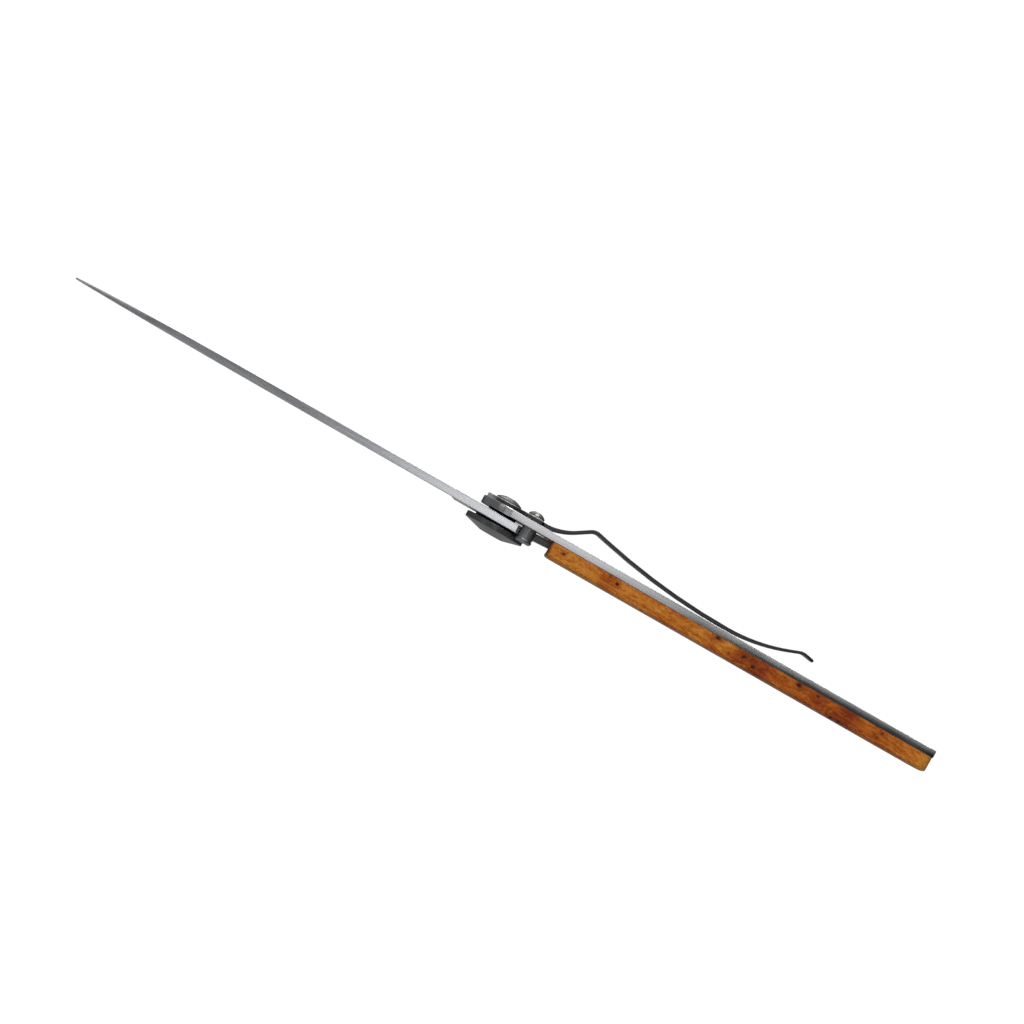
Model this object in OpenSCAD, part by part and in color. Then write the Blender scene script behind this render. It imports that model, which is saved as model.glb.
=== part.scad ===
// Slim one-scale folding knife with a frame lock, open.
// The knife lies flat: X runs from the blade's tip (-X) to the butt (+X), the spine and the
// handle's back face -Y, the cutting edge faces +Y, and the pocket clip is on top (+Z).
// The origin is on the pivot axis, in the flat outer face of the pivot nut.

/* [Blade] */
// Pivot axis to the tip of the blade
blade_reach = 102; // [80:1:125]
// Thickness of the blade at the spine
blade_t = 1.8; // [1.2:0.1:2.4]
// Pivot axis to the plunge line, where the grind starts
ricasso_reach = 10; // [9:0.5:24]
// Step from the ricasso's lower edge out to the cutting edge
edge_step = 1.1; // [0.6:0.1:1.6]
// Thickness behind the sharpened edge
edge_t = 0.36; // [0.2:0.02:0.5]
// Width of the sharpened edge
edge_w = 0.8; // [0.5:0.1:1.2]
// Length over which the spine drops to the tip
point_l = 37; // [25:1:45]
// Length over which the belly rises to the tip
belly_l = 60; // [45:1:70]
// Share of the blade's width by which the spine drops at the tip
point_drop = 0.48; // [0.3:0.02:0.6]

/* [Frame] */
// Thickness of the steel frame
frame_t = 1.65; // [1.2:0.05:2.2]
// How far the butt reaches past the tip of the folded blade
butt_cover = 1; // [0.7:0.1:4]
// Steel left round the stop pin, out to the handle's back
back_wall = 0.43; // [0.3:0.01:1.2]
// Width of the handle at its waist
handle_w = 11.6; // [10:0.1:14]
// How much narrower the butt is than the waist
butt_taper = 1.4; // [0:0.1:2]

/* [Lock bar] */
// Pivot axis to the root where the lock bar bends
lock_root = 45; // [32:1:60]
// How far the lock bar stands behind the blade's tang
lock_engage = 1.3; // [0.6:0.05:1.5]
// Width of the slot between the lock bar and the frame
lock_slot = 0.8; // [0.5:0.1:1.5]
// Steel left at the bottom of the bending groove
groove_web = 0.7; // [0.5:0.05:1]
// Diameter of the detent ball
ball_d = 1.6; // [1.4:0.1:1.8]

/* [Wood scale] */
// Pivot axis to the front end of the wood
scale_start = 11.8; // [10.5:0.1:14]
// Thickness of the wooden lip that covers the folded blade
lip_t = 0.8; // [0.7:0.05:2]
// How far the wood stops short of the frame's butt
scale_inset = 0.2; // [0:0.05:0.5]
// Rounding of the wood's outer edge
scale_round = 0.55; // [0.2:0.05:0.7]

/* [Pivot] */
// Diameter of the bolster
bolster_d = 13.4; // [11:0.1:16.5]
// Height of the bolster
bolster_t = 2.3; // [1.9:0.1:3]
// Height of the bolster's bevel
bevel_h = 1.07; // [0.6:0.01:1.3]
// Diameter of the pivot nut's flat head
nut_head_d = 5.1; // [4.6:0.1:6.2]
// Height of the pivot nut's head
nut_head_t = 0.8; // [0.6:0.05:1]
// Diameter of the pivot nut's barrel, which the blade turns on
barrel_d = 4; // [3.4:0.1:4.4]
// Diameter of the pivot screw's thread
pivot_thread_d = 2.2; // [1.8:0.1:2.6]
// Thickness of the two washers that the blade turns between
washer_t = 0.5; // [0.3:0.05:0.7]
// Diameter of the washer on the frame's side
frame_washer_d = 6.4; // [5.6:0.1:8]
// Diameter of the washer on the bolster's side
bolster_washer_d = 10; // [8:0.1:11]

/* [Stop pin] */
// Diameter of the stop pin
stop_d = 3.24; // [2.6:0.02:3.6]
// Diameter of the stop pin's flanged foot
stop_flange_d = 3.66; // [3.1:0.02:4.6]
// Height of the flanged foot
stop_flange_t = 0.86; // [0.6:0.02:1.1]
// Direction of the stop pin from the pivot axis, in degrees from +X towards the spine
stop_angle = 43; // [40:1:46]

/* [Clip] */
// Thickness of the clip's strip
clip_t = 0.9; // [0.6:0.05:1.2]
// Width of the clip's arm at its root
clip_w = 6; // [4.5:0.1:6.6]
// Width of the clip's arm at its free end
clip_tip_w = 4.6; // [3.5:0.1:5]
// Slope of the clip where it climbs to the crest, in degrees
clip_climb = 33; // [25:1:38]
// Straight length of that climb
clip_climb_l = 3; // [2:0.1:4]
// Length of the clip's flat lead-out at its free end
clip_end_l = 2.2; // [1.5:0.1:3]

/* [Screws] */
// Diameter of the pivot screw's head
pivot_head_d = 5.8; // [5:0.1:6.6]
// Diameter of the clip screw's head
clip_head_d = 3.66; // [3.2:0.02:4]
// Height of both domed heads
dome_h = 1.15; // [0.8:0.05:1.4]
// Thickness of the washers under the domed heads
head_washer_t = 0.2; // [0.15:0.05:0.4]
// Diameter of the clip screw's thread
clip_thread_d = 1.6; // [1.4:0.1:2]
// Diameter of the scale screws' countersunk heads
scale_head_d = 2.7; // [2.2:0.1:3]
// Diameter of the scale screws' threads
scale_thread_d = 1.4; // [1.2:0.1:1.6]

/* [Hidden] */
$fn = 64;

// Fits
run_play = 0.03;  // radial, for a part that turns on another
pass_play = 0.1;  // radial, for a screw that passes through a plate
stop_play = 0.03; // between the tang and the stop pin or the lock bar
slot_play = 0.35; // beside the folded blade
bend_gap = 0.06;  // where a bending strip is divided from its fixed end
tiny = 0.01;

// Levels, from the resting face up
bolster_top = bolster_t;
blade_z = bolster_top + washer_t;
blade_top = blade_z + blade_t;
frame_z = blade_top + washer_t;
frame_top = frame_z + frame_t;
clip_top = frame_top + clip_t;
head_z = clip_top + head_washer_t;
slot_floor = blade_z - slot_play;
scale_z = slot_floor - lip_t;

// Stop pin, which sets the tang, the spine and the handle's back
stop_reach = bolster_d / 2 + stop_flange_d / 2 + 0.35;
stop_x = stop_reach * cos(stop_angle);
stop_h = stop_reach * sin(stop_angle);
back_h = stop_h + stop_d / 2 + back_wall;

// Blade widths, measured from the pivot axis
spine_h = stop_h + 0.85;
ricasso_h = stop_h - stop_d / 2 - stop_play;
edge_h = ricasso_h + edge_step;
blade_w = spine_h + edge_h;
tip_y = -spine_h + point_drop * blade_w;
tang_r = bolster_d / 2 - 0.2;
heel_x = stop_x - stop_d / 2 - stop_play;
tang_face = tang_r - 0.4;

// Frame outline
butt_x = blade_reach + butt_cover;
nose_r = bolster_d / 2 - 1.45;
eye_h = bolster_d / 2 - 0.5;
waist_x = tang_r + 8.8;
belly_h = handle_w - back_h;
butt_back_h = back_h - butt_taper * 0.35;
butt_belly_h = belly_h - butt_taper * 0.65;

// Lock bar
lock_tip = tang_face + stop_play + 0.02;
lock_edge = 0.2;
lock_mid_z = frame_z + frame_t / 2;
lock_angle = asin((washer_t + lock_engage) / (lock_root - lock_tip));
ball_x = tang_r + 1.1;
ball_y = 2.4;
ball_proud = washer_t + 0.15;

// Clip
clip_root = stop_x + 2.1;
clip_mid_y = -(back_h - 1.2 - clip_w / 2);
clip_mid_z = frame_top + clip_t / 2;
clip_nose_r = nose_r - 0.5;

// Scale screws: how far each stands in from the butt or front, and from the handle's back
screw_in = scale_head_d / 2 + 0.25;
screw_places = [
    [scale_start + 2.7, -(back_h - screw_in)],
    [butt_x - 31, -(back_at(butt_x - 31) - screw_in)],
    [butt_x - 8, -(back_at(butt_x - 8) - screw_in - 1.2)],
];
screw_tip_z = slot_floor - 0.1;

// --- Outlines ---

function unit(v) = v / norm(v);

// Points of the fillet of radius r at corner b between a and c
function fillet(a, b, c, r) =
    let (u = unit(a - b), w = unit(c - b), half = acos(u * w) / 2)
    let (centre = b + unit(u + w) * r / sin(half), from = b + u * r / tan(half) - centre)
    let (to = b + w * r / tan(half) - centre, start = atan2(from.y, from.x))
    let (swing = atan2(to.y, to.x) - start)
    let (turn = swing > 180 ? swing - 360 : swing < -180 ? swing + 360 : swing)
    let (steps = ceil(abs(turn) / 8))
    [for (i = [0:steps]) centre + r * [cos(start + turn * i / steps), sin(start + turn * i / steps)]];

// A polygon's points with each corner [x, y, radius] rounded
function rounded(corners) =
    let (n = len(corners), at = [for (k = corners) [k.x, k.y]])
    [for (i = [0:n - 1]) each corners[i][2] == 0
        ? [at[i]]
        : fillet(at[(i + n - 1) % n], at[i], at[(i + 1) % n], corners[i][2])];

// Distance of the handle's back from the pivot's centre line at x
function back_at(x) = back_h + (butt_back_h - back_h) * (x + nose_r) / (butt_x + nose_r);
// Distance of the handle's belly from the pivot's centre line at x, behind the waist
function belly_at(x) = belly_h + (butt_belly_h - belly_h) * (x - waist_x) / (butt_x - waist_x);

frame_outline = rounded([
    [-nose_r, -back_h, nose_r + 1.8],
    [butt_x, -butt_back_h, 2.2],
    [butt_x, butt_belly_h, 4],
    [waist_x, belly_h, 9],
    [lock_tip + 1, eye_h, 4],
    [-nose_r, eye_h, nose_r - 0.3],
]);

// Blade outline: spine and edge at a distance d behind the tip
function spine_at(d) = -spine_h + (tip_y + spine_h) * pow(max(0, 1 - d / point_l), 2);
function edge_at(d) = edge_h - (edge_h - tip_y) * pow(max(0, 1 - d / belly_l), 2.6);
// Thickness of the flat grind at the spine, which thins where the blade narrows
function spine_t_at(d) =
    min(blade_t, edge_t + (blade_t - edge_t) * (edge_at(d) - spine_at(d)) / blade_w);

tang_outline = rounded([
    [-ricasso_reach, -spine_h, 0],
    [heel_x, -spine_h, 0.8],
    [heel_x, -sqrt(tang_r * tang_r - heel_x * heel_x) - 0.1, 0.4],
    [tang_face, -sqrt(tang_r * tang_r - tang_face * tang_face) + 0.4, 1.2],
    [tang_face, 2.3, 0.8],
    [ricasso_h + 0.6, ricasso_h, 1.5],
    [-ricasso_reach, ricasso_h, 0],
]);

// The clip's middle line as [x, z, heading], built of runs [length, turn in degrees]
function walk(runs, i = 0, at = [0, 0, 0]) =
    i == len(runs) ? [] :
    let (steps = max(1, ceil(abs(runs[i][1]) / 3)), part = runs[i] / steps)
    let (points = paced(at, part[0], part[1], steps))
    concat(points, walk(runs, i + 1, points[steps - 1]));
function paced(at, length, turn, steps) =
    let (next = [at.x + length * cos(at[2] + turn / 2), at.y + length * sin(at[2] + turn / 2), at[2] + turn])
    steps == 1 ? [next] : concat([next], paced(next, length, turn, steps - 1));
function arc_run(radius, turn) = [radius * abs(turn) * PI / 180, turn];

// Bends of the clip: radius at the root, crest, long sag, lift and end
root_bend = 12.5;
crest_bend = 2.2;
sag_bend = 142;
lift_bend = 38;
end_bend = 2.5;
clip_sag = 12.5;    // slope down from the crest
clip_lift = 21;     // slope up to the free end
clip_end_dip = 10;  // slope of the lead-out
clip_rest_gap = 0.1;
crest_rise = root_bend * (1 - cos(clip_climb)) + clip_climb_l * sin(clip_climb)
    + crest_bend * (cos(clip_sag) - cos(clip_climb));
sag_l = (crest_rise - sag_bend * (1 - cos(clip_sag)) - clip_rest_gap) / sin(clip_sag);
clip_line = concat([[0, 0, 0]], walk([
    arc_run(root_bend, clip_climb),
    [clip_climb_l, 0],
    arc_run(crest_bend, -clip_climb - clip_sag),
    [sag_l, 0],
    arc_run(sag_bend, clip_sag),
    arc_run(lift_bend, clip_lift),
    [2, 0],
    arc_run(end_bend, -clip_lift - clip_end_dip),
    [clip_end_l, 0],
]));
clip_end = clip_line[len(clip_line) - 1].x;

// --- Helpers ---

module slab(z, t) {
    translate([0, 0, z]) linear_extrude(t) children();
}

module rod(d, z0, z1) {
    translate([0, 0, z0]) cylinder(d = d, h = z1 - z0);
}

module at_stop() {
    translate([stop_x, -stop_h, 0]) children();
}

// Extrudes an outline in X and Z across the knife
module across(y0, y1) {
    translate([0, y1, 0]) rotate([90, 0, 0]) linear_extrude(y1 - y0) children();
}

// Domed screw head of diameter d on z, with a hexagonal socket
module domed_head(d, z, socket) {
    rim = 0.22;
    rise = dome_h - rim;
    dome_r = (d * d / 4 + rise * rise) / (2 * rise);
    difference() {
        translate([0, 0, z]) rotate_extrude() union() {
            square([d / 2, rim]);
            intersection() {
                translate([0, rim + rise - dome_r]) circle(dome_r, $fn = 180);
                translate([0, rim - tiny]) square([d / 2, rise + 1]);
            }
        }
        translate([0, 0, z + dome_h - 0.75]) cylinder(d = socket * 2 / sqrt(3), h = 2, $fn = 6);
    }
}

module screw_hole(place, d, z0, z1) {
    translate([place.x, place.y, 0]) rod(d, z0, z1);
}

// --- Frame and wood ---

module frame() {
    color("silver") difference() {
        slab(frame_z, frame_t) polygon(frame_outline);
        slab(frame_z - 1, frame_t + 2)
            translate([lock_tip - 0.3, lock_edge - lock_slot])
                square([lock_root + bend_gap / 2 - lock_tip + 0.3, 20]);
        rod(barrel_d + 2 * run_play, frame_z - 1, frame_top + 1);
        at_stop() rod(stop_d - 0.64, frame_z - 1, frame_top + 1);
        for (place = screw_places) translate([place.x, place.y, 0]) {
            rod(scale_thread_d + 2 * run_play, frame_z - 1, frame_top + 1);
            countersink(run_play);
        }
    }
}

// Countersink or head of a scale screw, grown by play
module countersink(play) {
    depth = (scale_head_d - scale_thread_d) / 2;
    translate([0, 0, frame_top - depth])
        cylinder(d1 = scale_thread_d + 2 * play, d2 = scale_head_d + 2 * play, h = depth + tiny * (play > 0 ? 1 : 0));
}

scale_end = butt_x - scale_inset;
scale_outline = [
    [scale_start, -back_at(scale_start), 0.9],
    [scale_end, -back_at(scale_end), 2],
    [scale_end, belly_at(scale_end), 3.8],
    [scale_start, belly_h, 1.2],
];
function shrunk(corners, s) = [
    [corners[0].x + s, corners[0].y + s, corners[0][2]],
    [corners[1].x - s, corners[1].y + s, corners[1][2]],
    [corners[2].x - s, corners[2].y - s, corners[2][2]],
    [corners[3].x + s, corners[3].y - s, corners[3][2]],
];

// Space for the folded blade, open at the belly and the front
function folded_wall(x) = -edge_at(blade_reach - x) - slot_play;
module blade_slot_outline() {
    first = ricasso_reach - 0.9;
    last = blade_reach + slot_play;
    steps = 24;
    polygon(concat(
        [[scale_start - 2, -ricasso_h - slot_play], [first, -ricasso_h - slot_play]],
        [for (i = [0:steps]) let (x = first + 0.6 + (blade_reach - first - 0.6) * i / steps) [x, folded_wall(x)]],
        [[last, -tip_y - slot_play], [last, 20], [scale_start - 2, 20]]));
}

module handle_scale() {
    color("sienna") difference() {
        union() {
            slab(scale_z + scale_round, frame_z - scale_z - scale_round) polygon(rounded(scale_outline));
            hull() {
                slab(scale_z + scale_round, tiny) polygon(rounded(scale_outline));
                slab(scale_z + scale_round * 0.35, tiny) polygon(rounded(shrunk(scale_outline, scale_round * 0.25)));
                slab(scale_z, tiny) polygon(rounded(shrunk(scale_outline, scale_round)));
            }
        }
        slab(slot_floor, frame_z - slot_floor + 1) blade_slot_outline();
        for (place = screw_places) screw_hole(place, scale_thread_d, screw_tip_z - 0.2, frame_z + 1);
    }
}

module scale_screw(place) {
    color("dimgray") translate([place.x, place.y, 0]) difference() {
        union() {
            countersink(0);
            rod(scale_thread_d, screw_tip_z, frame_top - 0.5);
        }
        translate([0, 0, frame_top - 0.55]) cylinder(d = scale_head_d * 0.5, h = 1, $fn = 6);
    }
}

// --- Blade and lock ---

// The ground part of the blade: sections from the tip to the plunge line
module ground_blade() {
    steps = 26;
    run = blade_reach - ricasso_reach - 1.6;
    distances = [for (i = [0:steps]) run * pow(i / steps, 1.7)];
    mid = blade_z + blade_t / 2;
    function section(x, y0, y1, t0, t1, t2) = let (rim = min(edge_w, (y1 - y0) / 3)) [
        [x, y0, mid + t0 / 2], [x, y1 - rim, mid + t1 / 2], [x, y1, mid + t2 / 2],
        [x, y1, mid - t2 / 2], [x, y1 - rim, mid - t1 / 2], [x, y0, mid - t0 / 2]];
    function keen(d) = min(1, 0.3 + d / 6);
    grinds = [for (d = distances) section(-blade_reach + d, spine_at(d) - 0.04, edge_at(d) + 0.04,
        max(0.12, spine_t_at(d) * keen(d)), edge_t * keen(d), 0.05)];
    plunge = section(-ricasso_reach, -spine_h, ricasso_h, blade_t, blade_t, blade_t);
    rings = concat(grinds, [plunge]);
    n = len(rings);
    last = (n - 1) * 6;
    polyhedron(
        points = [for (ring = rings) each ring],
        faces = concat(
            [[5, 4, 1, 0], [4, 3, 2, 1]],
            [for (i = [0:n - 2], k = [0:5]) let (a = i * 6 + k, b = i * 6 + (k + 1) % 6)
                each [[a, b, a + 6], [b, b + 6, a + 6]]],
            [[for (k = [0, 1, 4, 5]) last + k], [for (k = [1, 2, 3, 4]) last + k]]));
}

module blade() {
    color("lightgray") difference() {
        union() {
            slab(blade_z, blade_t) polygon(tang_outline);
            ground_blade();
        }
        rod(barrel_d + 2 * run_play, blade_z - 1, blade_top + 1);
        translate([-ball_x, -ball_y, blade_top - 0.5]) cylinder(d = ball_d - 0.3, h = 1);
    }
}

// Turns a part from flush with the frame to where the lock bar rests behind the tang
module sprung_in() {
    translate([lock_root, 0, lock_mid_z]) rotate([0, -lock_angle, 0]) translate([-lock_root, 0, -lock_mid_z])
        children();
}

module lock_bar() {
    groove_r = 4.2;
    color("dimgray") sprung_in() difference() {
        slab(frame_z, frame_t) intersection() {
            polygon(frame_outline);
            translate([lock_tip, lock_edge]) square([lock_root - bend_gap / 2 - lock_tip, 20]);
        }
        across(-20, 20) translate([lock_root - 4, frame_z + groove_web + groove_r]) circle(groove_r);
        translate([ball_x, ball_y, frame_z + ball_d / 2 - ball_proud]) sphere(d = ball_d);
        translate([ball_x, ball_y, frame_z - 1]) cylinder(d = ball_d, h = 1 + ball_d / 2 - ball_proud);
    }
}

module detent_ball() {
    color("white") sprung_in() translate([ball_x, ball_y, frame_z + ball_d / 2 - ball_proud]) sphere(d = ball_d);
}

// --- Pivot ---

module bolster() {
    color("dimgray") difference() {
        rotate_extrude($fn = 128) polygon([
            [0, 0], [nut_head_d / 2 + run_play, 0], [bolster_d / 2 - 0.06, bevel_h - 0.06], [bolster_d / 2, bevel_h],
            [bolster_d / 2, bolster_t - 0.15], [bolster_d / 2 - 0.15, bolster_t], [0, bolster_t]]);
        rod(nut_head_d + 2 * run_play, -1, nut_head_t);
        rod(barrel_d + 2 * run_play, -1, bolster_t + 1);
    }
}

module pivot_nut() {
    spanner_r = (nut_head_d / 2 + pivot_thread_d / 2) / 2 - 0.1;
    color("gray") difference() {
        union() {
            rod(nut_head_d, 0, nut_head_t);
            rod(barrel_d, nut_head_t - tiny, frame_top - 0.2);
        }
        rod(pivot_thread_d, nut_head_t + 0.6, frame_top);
        for (side = [-1, 1]) translate([side * spanner_r, 0, 0]) rod(0.7, -1, 0.5);
    }
}

module pivot_screw() {
    color("gray") {
        domed_head(pivot_head_d, head_z, 2);
        rod(pivot_thread_d, nut_head_t + 1, head_z + tiny);
    }
}

module flat_washer(outer, inner, z, t) {
    difference() {
        rod(outer, z, z + t);
        rod(inner, z - 1, z + t + 1);
    }
}

module pivot_screw_washer() {
    color("white") flat_washer(pivot_head_d, pivot_thread_d + 2 * pass_play, clip_top, head_washer_t);
}

module pivot_washer_frame_side() {
    color("peru") flat_washer(frame_washer_d, barrel_d + 2 * run_play, blade_top, washer_t);
}

module pivot_washer_bolster_side() {
    color("peru") flat_washer(bolster_washer_d, barrel_d + 2 * run_play, bolster_top, washer_t);
}

// --- Stop pin ---

module stop_pin() {
    flange_z = blade_z - 0.26 - stop_flange_t;
    color("gray") at_stop() difference() {
        union() {
            translate([0, 0, flange_z]) cylinder(d1 = stop_flange_d - 0.7, d2 = stop_flange_d, h = 0.35);
            rod(stop_flange_d, flange_z + 0.35, flange_z + stop_flange_t);
            rod(stop_d, flange_z + 0.35, frame_z);
            rod(stop_d - 0.7, frame_z - tiny, frame_top - 0.1);
        }
        rod(clip_thread_d, blade_z, frame_top + 1);
    }
}

// --- Clip ---

clip_base_outline = rounded([
    [-clip_nose_r, -clip_nose_r - 0.3, clip_nose_r - 0.6],
    [1.3, -clip_nose_r - 0.3, 2.6],
    [stop_x - 2.5, -back_h + 0.15, 1.9],
    [clip_root - 0.2, -back_h + 0.15, 0.6],
    [clip_root - bend_gap / 2, clip_mid_y - clip_w / 2, 0],
    [clip_root - bend_gap / 2, clip_mid_y + clip_w / 2, 0],
    [clip_nose_r + 0.2, clip_mid_y + clip_w / 2, 1],
    [clip_nose_r, clip_nose_r, clip_nose_r - 0.2],
    [-clip_nose_r, clip_nose_r, clip_nose_r - 0.2],
]);

module clip_base() {
    color("darkslategray") difference() {
        slab(frame_top, clip_t) polygon(clip_base_outline);
        rod(pivot_thread_d + 2 * pass_play, frame_top - 1, clip_top + 1);
        at_stop() rod(clip_thread_d + 2 * pass_play, frame_top - 1, clip_top + 1);
    }
}

module clip_arm() {
    n = len(clip_line);
    function side(i, s) = let (p = clip_line[i])
        [clip_root + p.x - s * clip_t / 2 * sin(p[2]), clip_mid_z + p.y + s * clip_t / 2 * cos(p[2])];
    strip = concat(
        [[clip_root + bend_gap / 2, side(0, 1).y]],
        [for (i = [1:n - 1]) side(i, 1)],
        [for (i = [n - 1:-1:1]) side(i, -1)],
        [[clip_root + bend_gap / 2, side(0, -1).y]]);
    color("darkslategray") intersection() {
        across(-20, 20) polygon(strip);
        slab(0, 40) polygon(rounded([
            [clip_root - 1, clip_mid_y - clip_w / 2, 0],
            [clip_root + clip_end + 0.4, clip_mid_y - clip_tip_w / 2, clip_tip_w / 2 - 0.1],
            [clip_root + clip_end + 0.4, clip_mid_y + clip_tip_w / 2, clip_tip_w / 2 - 0.1],
            [clip_root - 1, clip_mid_y + clip_w / 2, 0],
        ]));
    }
}

module clip_screw() {
    color("gray") at_stop() {
        domed_head(clip_head_d, head_z, 1.3);
        rod(clip_thread_d, blade_z + 0.3, head_z + tiny);
    }
}

module clip_screw_washer() {
    color("white") at_stop() flat_washer(clip_head_d, clip_thread_d + 2 * pass_play, clip_top, head_washer_t);
}

frame();
handle_scale();
scale_screw(screw_places[0]);  // scale_screw_front
scale_screw(screw_places[1]);  // scale_screw_middle
scale_screw(screw_places[2]);  // scale_screw_rear
blade();
lock_bar();
detent_ball();
bolster();
pivot_nut();
pivot_screw();
pivot_screw_washer();
pivot_washer_frame_side();
pivot_washer_bolster_side();
stop_pin();
clip_base();
clip_arm();
clip_screw();
clip_screw_washer();
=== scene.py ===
import bmesh
import bpy
import math
from mathutils import Matrix, Vector


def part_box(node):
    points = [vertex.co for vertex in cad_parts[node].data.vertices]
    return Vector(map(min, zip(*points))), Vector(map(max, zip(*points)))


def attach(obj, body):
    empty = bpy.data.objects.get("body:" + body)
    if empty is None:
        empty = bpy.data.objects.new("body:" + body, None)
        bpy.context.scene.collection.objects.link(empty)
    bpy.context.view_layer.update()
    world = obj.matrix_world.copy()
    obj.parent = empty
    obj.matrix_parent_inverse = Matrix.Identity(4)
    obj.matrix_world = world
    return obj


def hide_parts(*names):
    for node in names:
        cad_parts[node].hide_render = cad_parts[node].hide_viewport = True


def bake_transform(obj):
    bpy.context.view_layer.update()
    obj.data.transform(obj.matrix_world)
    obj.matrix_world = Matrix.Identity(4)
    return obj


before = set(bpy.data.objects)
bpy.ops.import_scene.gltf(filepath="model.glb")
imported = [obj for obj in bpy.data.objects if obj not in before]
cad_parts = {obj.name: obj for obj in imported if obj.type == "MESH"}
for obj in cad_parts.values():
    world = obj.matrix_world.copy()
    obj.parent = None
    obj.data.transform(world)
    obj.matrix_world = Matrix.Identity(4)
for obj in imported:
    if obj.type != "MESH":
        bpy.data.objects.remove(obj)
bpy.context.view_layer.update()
mm = 0.001  # every size below is in millimetres
print("frame loaded")


# Shader maths

class Flow:  # a socket that can be added, scaled and compared like a number
    def __init__(self, finish, socket):
        self.finish, self.socket = finish, socket

    def maths(self, operation, a, b=0.0, c=0.0):
        return self.finish.add("ShaderNodeMath", {"operation": operation}, {0: a, 1: b, 2: c})

    def __add__(self, other): return self.maths("ADD", self, other)
    def __radd__(self, other): return self.maths("ADD", other, self)
    def __sub__(self, other): return self.maths("SUBTRACT", self, other)
    def __rsub__(self, other): return self.maths("SUBTRACT", other, self)
    def __mul__(self, other): return self.maths("MULTIPLY", self, other)
    def __rmul__(self, other): return self.maths("MULTIPLY", other, self)
    def __truediv__(self, other): return self.maths("DIVIDE", self, other)
    def __abs__(self): return self.maths("ABSOLUTE", self)

    def between(self, low, high, smooth=True):  # 0 at low, 1 at high
        kind = "SMOOTHSTEP" if smooth else "LINEAR"
        return self.finish.add("ShaderNodeMapRange", {"interpolation_type": kind},
                               {0: self, 1: low, 2: high})

    def most(self, other):  # the larger of the two
        return self.maths("MAXIMUM", self, other)


class Bench:  # adds and joins the nodes of one tree
    def __init__(self, tree):
        self.tree = tree

    def add(self, kind, settings=None, inputs=None, out=0):
        node = self.tree.nodes.new(kind)
        for key, value in (settings or {}).items():
            if key == "stops":
                fillRamp(node.color_ramp, value)
            else:
                setattr(node, key, value)
        for key, value in (inputs or {}).items():
            if isinstance(value, Flow):
                self.tree.links.new(value.socket, node.inputs[key])
            else:
                node.inputs[key].default_value = value
        return Flow(self, node.outputs[out])

    def place(self, stretch=(1, 1, 1), shift=(0, 0, 0)):  # position in millimetres, shifted and stretched
        spot = self.add("ShaderNodeTexCoord", out="Object")
        spot = self.add("ShaderNodeVectorMath", {"operation": "SUBTRACT"},
                        {0: spot, 1: [s * mm for s in shift]})
        return self.add("ShaderNodeVectorMath", {"operation": "MULTIPLY"},
                        {0: spot, 1: [s / mm for s in stretch]})

    def noise(self, where, scale=1.0, detail=3.0, rough=0.55, twist=0.0):
        return self.add("ShaderNodeTexNoise", None, {
            "Vector": where, "Scale": scale, "Detail": detail, "Roughness": rough, "Distortion": twist})

    def mix(self, factor, a, b):
        return self.add("ShaderNodeMix", {"data_type": "RGBA"}, {0: factor, 6: a, 7: b}, 2)

    def apart(self, vector):  # the x, y and z of a vector
        node = self.add("ShaderNodeSeparateXYZ", None, {0: vector}).socket.node
        return [Flow(self, socket) for socket in node.outputs]

    def ramp(self, value, stops, kind="LINEAR"):
        node = self.add("ShaderNodeValToRGB", {"stops": stops}, {0: value})
        node.socket.node.color_ramp.interpolation = kind
        return node


class Finish(Bench):  # a material and the nodes that feed its shader
    def __init__(self, name, **fixed):
        self.material = bpy.data.materials.new(name)
        self.material.use_nodes = True
        super().__init__(self.material.node_tree)
        self.shader = self.tree.nodes["Principled BSDF"]
        for socket, value in fixed.items():
            self.shader.inputs[socket.replace("_", " ")].default_value = value

    def give(self, socket, value):
        self.tree.links.new(value.socket, self.shader.inputs[socket])

    def bump(self, height, depth, strength=1.0):  # depth in millimetres
        self.give("Normal", self.add("ShaderNodeBump", None, {
            "Height": height, "Distance": depth * mm, "Strength": strength}))


def fillRamp(ramp, stops):
    while len(ramp.elements) > 1:
        ramp.elements.remove(ramp.elements[-1])
    for i, (position, colour) in enumerate(stops):
        element = ramp.elements.new(position) if i else ramp.elements[0]
        element.position, element.color = position, colour


def tone(red, green, blue):  # a screen colour, 0 to 255, as the shader's linear colour
    return tuple((c / 255 / 12.92 if c <= 10 else ((c / 255 + 0.055) / 1.055) ** 2.4)
                 for c in (red, green, blue)) + (1.0,)


# Metals

def brushing(steel, roughness, lines=(0.05, 2, 2), depth=0.0002, spread=0.12):  # returns the wear
    hairs = steel.noise(steel.place(lines), 1.0, 4, 0.6)
    clouds = steel.noise(steel.place((0.16, 0.5, 0.5), (3, 1, 2)), 1.0, 3)
    steel.give("Roughness", hairs * spread + clouds * spread + (roughness - spread))
    steel.bump(hairs, depth)
    return (hairs * 0.65 + clouds * 0.5).between(0.3, 0.85)


def brushedSteel(name, dark, light, roughness, metallic=1.0, **how):
    steel = Finish(name, Metallic=metallic)
    steel.give("Base Color", steel.mix(brushing(steel, roughness, **how), dark, light))
    return steel.material


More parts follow.
